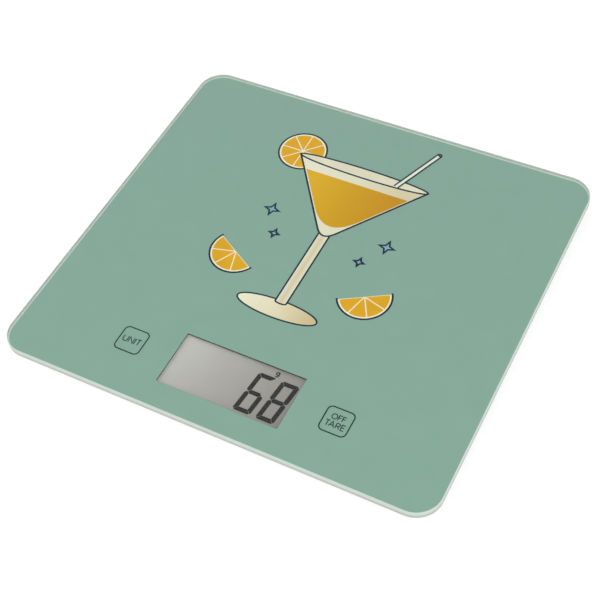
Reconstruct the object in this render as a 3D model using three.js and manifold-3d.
// Slim kitchen scale with a printed glass platform on four load-cell feet.
// Millimetres, +Z up. The origin is on the table under the middle of the platform,
// +X runs along the wide side and the display is at the front, towards -Y.
import * as THREE from "three";
import { mergeVertices } from "three/addons/utils/BufferGeometryUtils.js";
import Module from "manifold-3d";

// ---------------------------------------------------------------- driving dimensions
const PLATE = { width: 210, depth: 194, corner: 12, thickness: 4, bottom: 14, arris: 0.4 };
const PRINT = { inset: 0.8, thickness: 0.2 };
const WINDOW = { width: 59.3, depth: 27.5, y: -69.6 };
const TAPE = { thickness: 0.4, inset: 1, band: 6, notchWidth: 70, notchDepth: 34.4, notchY: -70 };

const HOUSING = { topInset: 6.5, partingInset: 7.5, floorInset: 13.5, corner: 9, wall: 2 };
const LEVEL = {
  coverUnder: 3,
  coverFloor: 4.6,
  parting: 6.2,
  boardUnder: 7,
  boardTop: 8,
  ceiling: 11.9,
  carrierTop: PLATE.bottom - PRINT.thickness - TAPE.thickness,
  printUnder: PLATE.bottom - PRINT.thickness,
};

const POST = { radius: 3.2, bottom: LEVEL.parting + 0.9, boss: 3.6, bossTop: 6.9 };
const BOARD_POST = { radius: 2.5, pilot: 1, pilotTop: 11.4 };
const RIB = { thickness: 1.2, under: 10.9, x: 30, length: 124, middleY: 16, width: 184, ys: [44, -24] };
const LIP = { bottom: 5.4, top: 7.8, wall: 1.2 };

const FOOT = {
  x: 76,
  y: 68,
  radius: 11.7,
  flange: 13.3,
  flangeUnder: 5,
  flangeTop: 6,
  opening: 12.2,
  boss: 4,
};
const PAD = { radius: 10, height: 1.6, sunk: 0.6, grip: 6, hollow: 0.4, seat: 1 };
const CELL = { side: 24, thickness: 1.2, bottom: 8.2, tongue: 11, slot: 2, root: 7 };
const GAUGE = { x: 6, side: 4.6, thickness: 0.6, stressHole: 0.9, stressHoleY: 3.6 };
const SEAT = { outside: 26, inside: 20.6, leadGap: 3.4, leadGapTop: 11.2 };
const RETAINER = { side: 31, opening: 9, bottom: 6.6, pin: 1.2, pinHead: 2, pinOffset: 12.9 };

const DISPLAY = { width: 63.5, depth: 31, rearDepth: 26.6, sheet: 1.1, top: 12.5 };
const HOLDER = { width: 67, depth: 34.2, play: 0.6, innerWidth: 59.1, innerDepth: 24.2, peg: 0.8, pegX: 32 };
const ZEBRA = { y: 14.45, width: 58, depth: 1.8 };
const KEY = { x: 50.5, opening: 4.5 };
const SPRING = { radius: 3, taper: 0.5, turns: 3.5, height: 5.1, wire: 0.3 };
const BOARD = { width: 116, back: -53, front: -85.5, corner: 2, screwHole: 1.2, pegHole: 1.1 };
const BOARD_SCREWS = [[55, -82], [41, -57]];
const CHIP = { x: -14, y: -62, length: 9.8, width: 3.9, height: 1.6 };
const CHIP_LEGS = { count: 8, pitch: 1.27, width: 0.4, span: 6 };

const COIN = { radius: 10, height: 3.2, bottom: 4.9, x: 0, y: 10 };
const BAY = { radius: 10.6, roofUnder: 9, roofTop: 10.2, padTop: 6.8 };
const DOOR = { width: 31.4, thickness: 1.4, hingeY: -4, latchY: 26, barrel: 1.3, pin: 0.8, pinReach: 1.6 };
const HINGE_Z = LEVEL.coverUnder + DOOR.barrel;
const LEAF = 0.26; // thickness of the battery's contact leaves
const CELL_WIRE = 0.8;
const BATTERY_WIRE = 0.6;

const HOUSING_SCREWS = [[-86, -26], [86, -26], [-86, 26], [86, 26], [0, 76], [0, -42]];
const SCREW = { shank: 1, head: 2.5, headHeight: 1.5, length: 5.8 };
const SCREW_HOLE = { clear: 1.4, pilot: 1.25, pilotTop: 11.2, seat: 4.8 };
const BOARD_SCREW = { shank: 0.75, head: 2, headHeight: 1.2, length: 4 };
const SLOT = 0.5; // width of a screw's cross recess

const GAP = 0.3;
const BITE = 0.1; // how far a joined piece reaches into its neighbour
const BELOW = 2; // a level under the housing, where cuts from underneath start
const ROUND = 20; // sides of a plain round feature

// ---------------------------------------------------------------- materials
function finish(color, roughness, metalness = 0) {
  return new THREE.MeshStandardMaterial({ color, roughness, metalness });
}

const MATERIAL = {
  glass: finish(0xdfeee6, 0.05),
  print: finish(0x88aa9c, 0.5),
  foam: finish(0x2b2926, 0.95),
  tape: finish(0xe9e9e4, 0.8),
  abs: finish(0xeeeeea, 0.45),
  innerPlastic: finish(0xd9d9d2, 0.5),
  rubber: finish(0x8d9290, 0.9),
  steel: finish(0xb9bcbd, 0.35, 1),
  nickel: finish(0xc8c6bf, 0.3, 1),
  coin: finish(0xcfcfcc, 0.25, 1),
  board: finish(0x2f6b48, 0.5),
  epoxy: finish(0x141414, 0.35),
  silicone: finish(0xf0efe9, 0.6),
  zebra: finish(0xc98c8c, 0.8),
  displayGlass: finish(0xb4b2ae, 0.3),
  redWire: finish(0xb02a24, 0.5),
  blackWire: finish(0x1c1c1c, 0.5),
  greyWire: finish(0x9a9a98, 0.5),
};

// ---------------------------------------------------------------- solids
const wasm = await Module();
wasm.setup();

function toSolid(geometry) {
  const bare = geometry.clone();
  bare.deleteAttribute("normal");
  bare.deleteAttribute("uv");
  const merged = mergeVertices(bare, 1e-4);
  return new wasm.Manifold(
    new wasm.Mesh({
      numProp: 3,
      vertProperties: new Float32Array(merged.attributes.position.array),
      triVerts: new Uint32Array(merged.index.array),
    }),
  );
}

function toGeometry(solid) {
  const mesh = solid.getMesh();
  const geometry = new THREE.BufferGeometry();
  geometry.setAttribute("position", new THREE.BufferAttribute(mesh.vertProperties, 3));
  geometry.setIndex(new THREE.BufferAttribute(mesh.triVerts, 1));
  geometry.computeVertexNormals();
  return geometry;
}

const join = (...solids) => solids.reduce((sum, solid) => sum.add(solid));
const cut = (solid, ...tools) => tools.reduce((rest, tool) => rest.subtract(tool), solid);

// ---------------------------------------------------------------- shapes
function roundedRect(width, depth, radius) {
  const x = width / 2;
  const y = depth / 2;
  const shape = new THREE.Shape();
  shape.moveTo(-x + radius, -y);
  shape.lineTo(x - radius, -y);
  shape.absarc(x - radius, -y + radius, radius, -Math.PI / 2, 0);
  shape.absarc(x - radius, y - radius, radius, 0, Math.PI / 2);
  shape.absarc(-x + radius, y - radius, radius, Math.PI / 2, Math.PI);
  shape.absarc(-x + radius, -y + radius, radius, Math.PI, 1.5 * Math.PI);
  shape.closePath();
  return shape;
}

function prism(shape, bottom, top, segments = 6) {
  const options = { depth: top - bottom, bevelEnabled: false, curveSegments: segments };
  return toSolid(new THREE.ExtrudeGeometry(shape, options).translate(0, 0, bottom));
}

// A block from its centre in plan, its plan size and its lowest and highest level.
function block(x, y, width, depth, bottom, top) {
  const box = new THREE.BoxGeometry(width, depth, top - bottom);
  return toSolid(box.translate(x, y, (bottom + top) / 2));
}

function rod(x, y, radius, bottom, top, sides = ROUND) {
  const cylinder = new THREE.CylinderGeometry(radius, radius, top - bottom, sides);
  return toSolid(cylinder.rotateX(Math.PI / 2).translate(x, y, (bottom + top) / 2));
}

// A cylinder lying along X.
function rodAlongX(y, z, radius, from, to, sides = ROUND) {
  const cylinder = new THREE.CylinderGeometry(radius, radius, to - from, sides);
  return toSolid(cylinder.rotateZ(Math.PI / 2).translate((from + to) / 2, y, z));
}

// A profile of [radius, level] points turned about Z; it runs up the outside.
function turned(profile, sides = ROUND) {
  const points = profile.map(([radius, level]) => new THREE.Vector2(radius, level));
  return toSolid(new THREE.LatheGeometry(points, sides).rotateX(Math.PI / 2));
}

// A solid skinned over rounded rectangles, each [width, depth, corner radius, level].
function skinned(sections, segments = 6) {
  const rings = sections.map(([width, depth, radius, level]) => {
    const outline = roundedRect(width, depth, radius).getPoints(segments).slice(0, -1);
    const distinct = outline.filter((p, i) => p.distanceTo(outline.at(i - 1)) > 1e-6);
    return distinct.map((p) => [p.x, p.y, level]);
  });
  const count = rings[0].length;
  const flat = rings[0].map(([x, y]) => new THREE.Vector2(x, y));
  const cap = THREE.ShapeUtils.triangulateShape(flat, []);
  const last = (rings.length - 1) * count;
  const faces = [];
  cap.forEach(([a, b, c]) => faces.push([a, c, b], [last + a, last + b, last + c]));
  for (let ring = 0; ring < rings.length - 1; ring += 1) {
    for (let i = 0; i < count; i += 1) {
      const a = ring * count + i;
      const b = ring * count + ((i + 1) % count);
      faces.push([a, b, b + count], [a, b + count, a + count]);
    }
  }
  const geometry = new THREE.BufferGeometry();
  geometry.setAttribute("position", new THREE.Float32BufferAttribute(rings.flat(2), 3));
  geometry.setIndex(faces.flat());
  return toSolid(geometry);
}

// The outline of a strip of sheet metal bent along a line of points.
function bentStrip(points, thickness) {
  const line = points.map(([x, y]) => new THREE.Vector2(x, y));
  const side = (sign) => line.map((point, i) => {
    const before = point.clone().sub(line[Math.max(i - 1, 0)]).normalize();
    const after = line[Math.min(i + 1, line.length - 1)].clone().sub(point).normalize();
    const along = before.add(after).normalize();
    const next = line[Math.min(i + 1, line.length - 1)].clone();
    const leg = i < line.length - 1 ? next.sub(point) : point.clone().sub(line[i - 1]);
    const mitre = along.dot(leg.normalize());
    const reach = (sign * thickness) / 2 / mitre;
    return new THREE.Vector2(point.x - along.y * reach, point.y + along.x * reach);
  });
  return new THREE.Shape([...side(-1), ...side(1).reverse()]);
}

// A wire laid through points, as a tube with a round section.
function wire(points, radius, steps, sides = 6) {
  const route = new THREE.CatmullRomCurve3(points.map((p) => new THREE.Vector3(...p)));
  const section = new THREE.Shape();
  for (let i = 0; i < sides; i += 1) {
    const angle = (2 * Math.PI * i) / sides;
    const [x, y] = [radius * Math.cos(angle), radius * Math.sin(angle)];
    if (i === 0) section.moveTo(x, y);
    else section.lineTo(x, y);
  }
  section.closePath();
  return toSolid(new THREE.ExtrudeGeometry(section, { steps, extrudePath: route }));
}

const at = (solid, x, y, z = 0) => solid.translate([x, y, z]);
const corners = [
  ["front_left", -1, -1],
  ["front_right", 1, -1],
  ["back_left", -1, 1],
  ["back_right", 1, 1],
];

// ---------------------------------------------------------------- platform
function glassPlatform() {
  const { width, depth, corner, thickness, bottom, arris } = PLATE;
  const ring = (inset, level) => [width - 2 * inset, depth - 2 * inset, corner - inset, level];
  return skinned([
    ring(arris, bottom),
    ring(0, bottom + arris),
    ring(0, bottom + thickness - arris),
    ring(arris, bottom + thickness),
  ], 10);
}

function printFilm() {
  const { inset } = PRINT;
  const outline = roundedRect(PLATE.width - 2 * inset, PLATE.depth - 2 * inset, PLATE.corner - inset);
  const sheet = prism(outline, LEVEL.printUnder, PLATE.bottom, 10);
  const { width, depth, y } = WINDOW;
  return cut(sheet, block(0, y, width, depth, LEVEL.printUnder - 1, PLATE.bottom + 1));
}

function platformTape() {
  const width = PLATE.width - 2 * (HOUSING.topInset + TAPE.inset);
  const depth = PLATE.depth - 2 * (HOUSING.topInset + TAPE.inset);
  const { band, notchWidth, notchDepth, notchY } = TAPE;
  const under = LEVEL.carrierTop - 1;
  const sheet = prism(roundedRect(width, depth, HOUSING.corner - 1), LEVEL.carrierTop, LEVEL.printUnder);
  const hole = roundedRect(width - 2 * band, depth - 2 * band, HOUSING.corner - 4);
  const displayNotch = block(0, notchY, notchWidth, notchDepth, under, PLATE.bottom);
  return cut(sheet, prism(hole, under, PLATE.bottom), displayNotch);
}

// ---------------------------------------------------------------- housing
// A section of the housing, drawn in from the plate's edge by inset.
function inPlan(inset, corner, level) {
  return [PLATE.width - 2 * inset, PLATE.depth - 2 * inset, corner, level];
}

function upperCarrier() {
  const { topInset, partingInset, corner, wall } = HOUSING;
  const outside = skinned([
    inPlan(partingInset, corner - 1, LEVEL.parting),
    inPlan(topInset + 0.5, corner - 0.5, LEVEL.carrierTop - 0.5),
    inPlan(topInset + 1, corner - 1, LEVEL.carrierTop),
  ]);
  const inside = skinned([
    inPlan(partingInset + wall, corner - 3, LEVEL.parting - 1),
    inPlan(partingInset + wall, corner - 3, LEVEL.ceiling),
  ]);
  const root = LEVEL.ceiling + BITE;
  const [openWidth, openDepth] = [HOLDER.width + 0.8, HOLDER.depth + HOLDER.play];
  const displayOpening = block(0, WINDOW.y, openWidth, openDepth, LEVEL.boardTop, PLATE.bottom);
  const keyOpenings = [-KEY.x, KEY.x].map(
    (x) => rod(x, WINDOW.y, KEY.opening, LEVEL.boardTop, PLATE.bottom, 16),
  );
  const posts = HOUSING_SCREWS.map(([x, y]) => rod(x, y, POST.radius, POST.bottom, root, 12));
  const pilots = HOUSING_SCREWS.map(([x, y]) => rod(x, y, SCREW_HOLE.pilot, 6, SCREW_HOLE.pilotTop, 8));
  const boardPosts = bothSides(BOARD_SCREWS).map(
    ([x, y]) => rod(x, y, BOARD_POST.radius, LEVEL.boardTop, root, 12),
  );
  const boardPilots = bothSides(BOARD_SCREWS).map(
    ([x, y]) => rod(x, y, BOARD_POST.pilot, LEVEL.boardTop - 1, BOARD_POST.pilotTop, 8),
  );
  const { thickness, under, length, middleY, width, ys } = RIB;
  const ribs = [
    ...[-RIB.x, RIB.x].map((x) => block(x, middleY, thickness, length, under, root)),
    ...ys.map((y) => block(0, y, width, thickness, under, root)),
  ];
  const shell = cut(outside, inside, displayOpening, ...keyOpenings);
  const seats = corners.map(([, sx, sy]) => cellSeat(sx, sy));
  return cut(join(shell, ...posts, ...boardPosts, ...ribs, ...seats), ...pilots, ...boardPilots);
}

// The square rib that backs a load cell's frame, with a gap for its lead and two staked pins.
function cellSeat(sx, sy) {
  const { outside, inside, leadGap, leadGapTop } = SEAT;
  const cellTop = CELL.bottom + CELL.thickness;
  const top = LEVEL.ceiling + BITE;
  const hollow = block(0, 0, inside, inside, cellTop - 1, top + 1);
  const ring = cut(block(0, 0, outside, outside, cellTop, top), hollow);
  const notch = block(-sx * 11.5, 0, 5, leadGap, cellTop - 1, leadGapTop);
  const pins = [[1, 1], [-1, -1]].map(([px, py]) => {
    const [x, y] = [px * RETAINER.pinOffset, py * RETAINER.pinOffset];
    return join(
      rod(x, y, RETAINER.pin, RETAINER.bottom - BITE, top, 8),
      rod(x, y, RETAINER.pinHead, RETAINER.bottom - 0.8, RETAINER.bottom, 8),
    );
  });
  return at(join(cut(ring, notch), ...pins), sx * FOOT.x, sy * FOOT.y);
}

function bottomCover() {
  const { partingInset, floorInset, corner, wall } = HOUSING;
  const outside = skinned([
    inPlan(floorInset + 0.6, corner - 1.6, LEVEL.coverUnder),
    inPlan(floorInset - 0.4, corner - 1, LEVEL.coverUnder + 0.6),
    inPlan(partingInset, corner - 1, LEVEL.parting),
  ]);
  const inside = skinned([
    inPlan(floorInset, corner - 3, LEVEL.coverFloor),
    inPlan(partingInset + wall, corner - 3, LEVEL.parting),
    inPlan(partingInset + wall, corner - 3, LEVEL.parting + 4),
  ]);
  const lipInset = partingInset + wall + GAP;
  const lip = cut(
    skinned([inPlan(lipInset, corner - 3, LIP.bottom), inPlan(lipInset, corner - 3, LIP.top)]),
    skinned([inPlan(lipInset + LIP.wall, corner - 4, 5), inPlan(lipInset + LIP.wall, corner - 4, 9)]),
  );
  const bosses = HOUSING_SCREWS.map(
    ([x, y]) => rod(x, y, POST.boss, LEVEL.coverFloor - BITE, POST.bossTop, 12),
  );
  const screwHoles = HOUSING_SCREWS.flatMap(([x, y]) => [
    rod(x, y, SCREW_HOLE.clear, BELOW, 8, 10),
    rod(x, y, SCREW.head + 0.4, BELOW, SCREW_HOLE.seat, 16),
  ]);
  const footOpenings = corners.map(
    ([, sx, sy]) => rod(sx * FOOT.x, sy * FOOT.y, FOOT.opening, BELOW, 5, 28),
  );
  const tray = cut(outside, inside);
  return cut(join(tray, lip, ...bosses, batteryBay()), ...screwHoles, ...footOpenings, ...batteryHollows());
}

// The raised walls round the coin cell, with the thick pad that holds the door.
function batteryBay() {
  return join(
    block(0, 10.5, 39, 40, LEVEL.coverFloor - BITE, BAY.padTop),
    block(0, 10.2, 27, 26.8, BAY.padTop - BITE, BAY.roofTop),
  );
}

// What is taken out of the bay: door recess, hinge groove, pin sockets, coin pocket and contact slots.
function batteryHollows() {
  const doorTop = LEVEL.coverUnder + DOOR.thickness;
  const recessWidth = DOOR.width + 2 * GAP;
  const hingeClearance = DOOR.barrel + GAP;
  const middle = (DOOR.hingeY + DOOR.latchY + GAP) / 2;
  const length = DOOR.latchY + GAP - DOOR.hingeY;
  return [
    block(0, middle, recessWidth, length, BELOW, doorTop),
    block(0, DOOR.hingeY, recessWidth, 2 * hingeClearance, BELOW, HINGE_Z + hingeClearance),
    rodAlongX(DOOR.hingeY, HINGE_Z, DOOR.pin + GAP, -17.8, 17.8, 12),
    rod(COIN.x, COIN.y, BAY.radius, 4, BAY.roofUnder, 28),
    block(0, -2.4, 6.8, 8, 8.3, BAY.roofUnder),
    block(11.2, COIN.y, 2.6, 6, 4.8, BAY.roofUnder),
    block(13, COIN.y, 3, 6, 8.1, BAY.roofUnder),
    block(0, 28.4, 12, 5, BELOW, LEVEL.coverUnder + 0.8),
  ];
}

function batteryDoor() {
  const top = LEVEL.coverUnder + DOOR.thickness;
  const half = DOOR.width / 2;
  const middle = (DOOR.hingeY + DOOR.latchY) / 2;
  const plate = block(0, middle, DOOR.width, DOOR.latchY - DOOR.hingeY, LEVEL.coverUnder, top);
  const barrel = rodAlongX(DOOR.hingeY, HINGE_Z, DOOR.barrel, -half, half, 20);
  const pinEnd = half + DOOR.pinReach;
  const pins = rodAlongX(DOOR.hingeY, HINGE_Z, DOOR.pin, -pinEnd, pinEnd, 12);
  const pressRibs = [-4, 4].map((x) => block(x, COIN.y, 1.2, 12, top - BITE, top + 0.4));
  const latchSlots = [-5.5, 5.5].map((x) => block(x, DOOR.latchY - 3, 0.9, 8, BELOW, 5));
  const latchGrip = block(0, DOOR.latchY - 1.2, 8, 0.7, BELOW, LEVEL.coverUnder + 0.4);
  return cut(join(plate, barrel, pins, ...pressRibs), ...latchSlots, latchGrip);
}

// ---------------------------------------------------------------- feet and load cells
function foot() {
  const { radius, flange, flangeUnder, flangeTop, boss } = FOOT;
  const base = PAD.seat;
  const recess = base + PAD.sunk;
  const inside = radius - 1.5;
  const floor = 3.2;
  return turned([
    [0, recess],
    [PAD.radius + GAP, recess],
    [PAD.radius + GAP, base],
    [radius - 0.4, base],
    [radius, base + 0.4],
    [radius, flangeUnder],
    [flange, flangeUnder],
    [flange, flangeTop],
    [inside, flangeTop],
    [inside, floor],
    [boss, floor],
    [boss, CELL.bottom - 0.4],
    [boss - 0.4, CELL.bottom],
    [0, CELL.bottom],
  ]);
}

function footPad() {
  const { radius, height, grip, hollow } = PAD;
  return turned([
    [0, hollow],
    [grip - hollow, hollow],
    [grip, 0],
    [radius - 0.5, 0],
    [radius, 0.5],
    [radius, height],
    [0, height],
  ]);
}

// A sheet-steel cell: a square frame round a tongue that the foot pushes on.
// Its root, where the gauge sits, points towards +X.
function loadCell() {
  const { side, thickness, bottom, tongue, slot, root } = CELL;
  const inner = tongue / 2;
  const outer = inner + slot;
  const plate = roundedRect(side, side, 2);
  const gap = new THREE.Path();
  gap.moveTo(root, inner);
  gap.lineTo(root, outer);
  gap.lineTo(-outer, outer);
  gap.lineTo(-outer, -outer);
  gap.lineTo(root, -outer);
  gap.lineTo(root, -inner);
  gap.lineTo(-inner, -inner);
  gap.lineTo(-inner, inner);
  plate.holes.push(gap);
  for (const y of [-GAUGE.stressHoleY, GAUGE.stressHoleY]) {
    plate.holes.push(new THREE.Path().absarc(GAUGE.x, y, GAUGE.stressHole, 0, 2 * Math.PI));
  }
  return prism(plate, bottom, bottom + thickness, 3);
}

function gaugeCoating() {
  const top = CELL.bottom + CELL.thickness;
  const base = roundedRect(GAUGE.side, GAUGE.side, 1.2);
  return prism(base, top, top + GAUGE.thickness, 2).translate([GAUGE.x, 0, 0]);
}

function cellRetainer() {
  const { side, opening, bottom, pinOffset, pin } = RETAINER;
  const plate = prism(roundedRect(side, side, 3), bottom, CELL.bottom, 3);
  const pinHoles = [-pinOffset, pinOffset].map((place) => rod(place, place, pin + GAP, 6, 9, 8));
  return cut(plate, rod(0, 0, opening, 6, 9), ...pinHoles);
}

// ---------------------------------------------------------------- display and electronics
function displayPanel() {
  const { width, depth, rearDepth, sheet, top } = DISPLAY;
  const front = block(0, WINDOW.y, width, depth, top - sheet, top);
  const rear = block(0, WINDOW.y, width, rearDepth, top - 2 * sheet, top - sheet + 0.05);
  return join(front, rear);
}

function displayGasket() {
  const outer = block(0, WINDOW.y, DISPLAY.width - 0.7, DISPLAY.depth - 0.6, DISPLAY.top, LEVEL.printUnder);
  return cut(outer, block(0, WINDOW.y, WINDOW.width + 0.8, WINDOW.depth + 0.8, 12, PLATE.bottom));
}

function displayHolder() {
  const rearUnder = DISPLAY.top - 2 * DISPLAY.sheet;
  const { width, depth, play, innerWidth, innerDepth, peg, pegX } = HOLDER;
  const y = WINDOW.y;
  const outer = block(0, y, width, depth, LEVEL.boardTop, DISPLAY.top - 0.1);
  const pocket = block(0, y, DISPLAY.width + play, DISPLAY.depth + play, rearUnder, PLATE.bottom);
  const middle = block(0, y, innerWidth, innerDepth, 6, PLATE.bottom);
  const stripSlots = [-14.5, 14.5].map((aside) => block(0, y + aside, innerWidth, 2.3, 6, PLATE.bottom));
  const pegs = [-pegX, pegX].map((x) => rod(x, y, peg, LEVEL.boardUnder - 0.6, LEVEL.boardTop + 1, 10));
  return join(cut(outer, pocket, middle, ...stripSlots), ...pegs);
}

function zebraStrip(side) {
  const top = DISPLAY.top - DISPLAY.sheet;
  return block(0, WINDOW.y + side * ZEBRA.y, ZEBRA.width, ZEBRA.depth, LEVEL.boardTop, top);
}

function mainBoard() {
  const depth = BOARD.back - BOARD.front;
  const outline = roundedRect(BOARD.width, depth, BOARD.corner);
  const middle = (BOARD.back + BOARD.front) / 2;
  const plate = at(prism(outline, LEVEL.boardUnder, LEVEL.boardTop, 3), 0, middle);
  const screwHoles = bothSides(BOARD_SCREWS).map(([x, y]) => rod(x, y, BOARD.screwHole, 6, 9, 10));
  const pegHoles = [-HOLDER.pegX, HOLDER.pegX].map((x) => rod(x, WINDOW.y, BOARD.pegHole, 6, 9, 10));
  return cut(plate, ...screwHoles, ...pegHoles);
}

function bothSides(points) {
  return points.flatMap(([x, y]) => [[-x, y], [x, y]]);
}

function chipBlob() {
  const top = LEVEL.boardUnder;
  const dome = [
    [0, top - 1.7],
    [2.5, top - 1.6],
    [4.8, top - 1.15],
    [6.2, top - 0.5],
    [6.7, top],
    [0, top],
  ];
  return at(turned(dome, 20), 8, -70);
}

function adcChip() {
  const top = LEVEL.boardUnder;
  const { x, y, length, width, height } = CHIP;
  const body = block(x, y, length, width, top - height, top - 0.1);
  const { count, pitch, width: legWidth, span } = CHIP_LEGS;
  const legX = [...Array(count).keys()].map((i) => x + (i - (count - 1) / 2) * pitch);
  return join(body, ...legX.map((place) => block(place, y, legWidth, span, top - 0.3, top)));
}

function crystalCan() {
  const base = prism(roundedRect(11, 4.6, 2.2), LEVEL.boardUnder - 0.5, LEVEL.boardUnder, 4);
  const can = prism(roundedRect(10, 3.6, 1.75), LEVEL.boardUnder - 1.8, LEVEL.boardUnder - 0.4, 4);
  return at(join(base, can), -16, -76);
}

class Helix extends THREE.Curve {
  getPoint(t) {
    const angle = 2 * Math.PI * SPRING.turns * t;
    const radius = SPRING.radius - SPRING.taper * t;
    return new THREE.Vector3(radius * Math.cos(angle), radius * Math.sin(angle), SPRING.height * t);
  }
}

function touchSpring(x) {
  const section = new THREE.Shape();
  section.absarc(0, 0, SPRING.wire, 0, 2 * Math.PI);
  const options = { steps: 35, extrudePath: new Helix(), curveSegments: 3 };
  const coil = toSolid(new THREE.ExtrudeGeometry(section, options));
  return at(coil, x, WINDOW.y, LEVEL.boardTop + 0.36);
}

// ---------------------------------------------------------------- battery
function coinCell() {
  const { radius, height, bottom } = COIN;
  const high = bottom + height;
  const profile = [
    [0, bottom],
    [radius - 0.4, bottom],
    [radius, bottom + 0.4],
    [radius, high - 0.5],
    [radius - 0.4, high - 0.1],
    [radius - 0.9, high - 0.1],
    [radius - 1, high - 0.3],
    [radius - 1.3, high - 0.3],
    [radius - 1.4, high],
    [0, high],
  ];
  return at(turned(profile, 28), COIN.x, COIN.y);
}

// Leaf under the bay's roof that presses on the coin's small pole, with its tail to the front.
function negativeContact() {
  const line = [[-4.6, 8.82], [4, 8.82], [12, 8.32], [14, 8.6]];
  const leaf = new THREE.ExtrudeGeometry(bentStrip(line, LEAF), { depth: 6, bevelEnabled: false });
  leaf.rotateX(Math.PI / 2).rotateZ(Math.PI / 2);
  return toSolid(leaf.translate(-3, 0, 0));
}

// Leaf beside the coin that presses on its can, with its tail out to the right.
function positiveContact() {
  const line = [[11.9, 5.2], [10.4, 6.5], [11.9, 7.8], [11.9, 8.5], [15, 8.5]];
  const leaf = new THREE.ExtrudeGeometry(bentStrip(line, LEAF), { depth: 5, bevelEnabled: false });
  leaf.rotateX(Math.PI / 2);
  return toSolid(leaf.translate(0, COIN.y + 2.5, 0));
}

// ---------------------------------------------------------------- fasteners
// A cross-recess screw that stands head down, with the shank rising from seat.
function screw({ shank, head, headHeight, length }, seat) {
  const bottom = seat - headHeight;
  const body = turned([
    [0, bottom],
    [head - 0.5, bottom],
    [head, bottom + 0.5],
    [head, seat],
    [shank, seat],
    [shank, seat + length - 1],
    [0.3, seat + length],
    [0, seat + length],
  ], 12);
  const recess = head * 1.1;
  const depth = bottom + headHeight / 2;
  return cut(
    body,
    block(0, 0, recess, SLOT, bottom - 1, depth),
    block(0, 0, SLOT, recess, bottom - 1, depth),
  );
}

// ---------------------------------------------------------------- leads
function cellLead(sx, sy) {
  const start = [[sx * 67, sy * 68, 10.3], [sx * 62.5, sy * 68, 10]];
  const front = [[sx * 59, -66.5, 9.9], [sx * 57.2, -64.5, 9.5], [sx * 56, -62.5, 9]];
  const back = [
    [sx * 57, 64, 9.9],
    [sx * 53, 50, 9.9],
    [sx * 52, 20, 9.9],
    [sx * 52, -20, 9.9],
    [sx * 51, -42, 9.9],
    [sx * 49.5, -51, 9.6],
    [sx * 49, -56.5, 9],
  ];
  return sy < 0 ? wire([...start, ...front], CELL_WIRE, 8) : wire([...start, ...back], CELL_WIRE, 22);
}

function batteryLeads() {
  return {
    negative: wire([
      [-2.2, -5.9, 9.2],
      [-5, -12, 8.4],
      [-16, -28, 7.4],
      [-30, -42, 8.4],
      [-35.6, -50, 9],
      [-36, -56, 8.8],
    ], BATTERY_WIRE, 14),
    positive: wire([
      [16, 9, 9.3],
      [20, 2, 8.8],
      [24, -16, 7.6],
      [30, -38, 8.2],
      [35.6, -50, 9],
      [36, -56, 8.8],
    ], BATTERY_WIRE, 15),
  };
}

// ---------------------------------------------------------------- assembly
const scale = new THREE.Group();

function add(name, solid, material) {
  const mesh = new THREE.Mesh(toGeometry(solid), material);
  mesh.name = name;
  scale.add(mesh);
}

add("glass_platform", glassPlatform(), MATERIAL.glass);
add("print_film", printFilm(), MATERIAL.print);
add("platform_tape", platformTape(), MATERIAL.tape);
add("upper_carrier", upperCarrier(), MATERIAL.abs);
add("bottom_cover", bottomCover(), MATERIAL.abs);

add("display_gasket", displayGasket(), MATERIAL.foam);
add("display_panel", displayPanel(), MATERIAL.displayGlass);
add("display_holder", displayHolder(), MATERIAL.innerPlastic);
add("zebra_strip_front", zebraStrip(-1), MATERIAL.zebra);
add("zebra_strip_back", zebraStrip(1), MATERIAL.zebra);
add("main_board", mainBoard(), MATERIAL.board);
add("chip_blob", chipBlob(), MATERIAL.epoxy);
add("adc_chip", adcChip(), MATERIAL.epoxy);
add("crystal_can", crystalCan(), MATERIAL.nickel);
add("touch_spring_unit", touchSpring(-KEY.x), MATERIAL.nickel);
add("touch_spring_tare", touchSpring(KEY.x), MATERIAL.nickel);

add("coin_cell", coinCell(), MATERIAL.coin);
add("battery_contact_negative", negativeContact(), MATERIAL.nickel);
add("battery_contact_positive", positiveContact(), MATERIAL.nickel);
const { negative, positive } = batteryLeads();
add("battery_lead_negative", negative, MATERIAL.blackWire);
add("battery_lead_positive", positive, MATERIAL.redWire);
add("battery_door", batteryDoor(), MATERIAL.abs);

for (const [name, sx, sy] of corners) {
  const inward = sx < 0 ? 0 : 180;
  const place = (solid) => at(solid.rotate([0, 0, inward]), sx * FOOT.x, sy * FOOT.y);
  add(`foot_${name}`, place(foot()), MATERIAL.abs);
  add(`foot_pad_${name}`, place(footPad()), MATERIAL.rubber);
  add(`load_cell_${name}`, place(loadCell()), MATERIAL.steel);
  add(`gauge_coating_${name}`, place(gaugeCoating()), MATERIAL.silicone);
  add(`cell_retainer_${name}`, place(cellRetainer()), MATERIAL.innerPlastic);
  add(`cell_lead_${name}`, cellLead(sx, sy), MATERIAL.greyWire);
}

HOUSING_SCREWS.forEach(([x, y], i) => {
  add(`housing_screw_${i + 1}`, at(screw(SCREW, SCREW_HOLE.seat), x, y), MATERIAL.steel);
});
bothSides(BOARD_SCREWS).forEach(([x, y], i) => {
  add(`board_screw_${i + 1}`, at(screw(BOARD_SCREW, LEVEL.boardUnder), x, y), MATERIAL.steel);
});

export default scale;
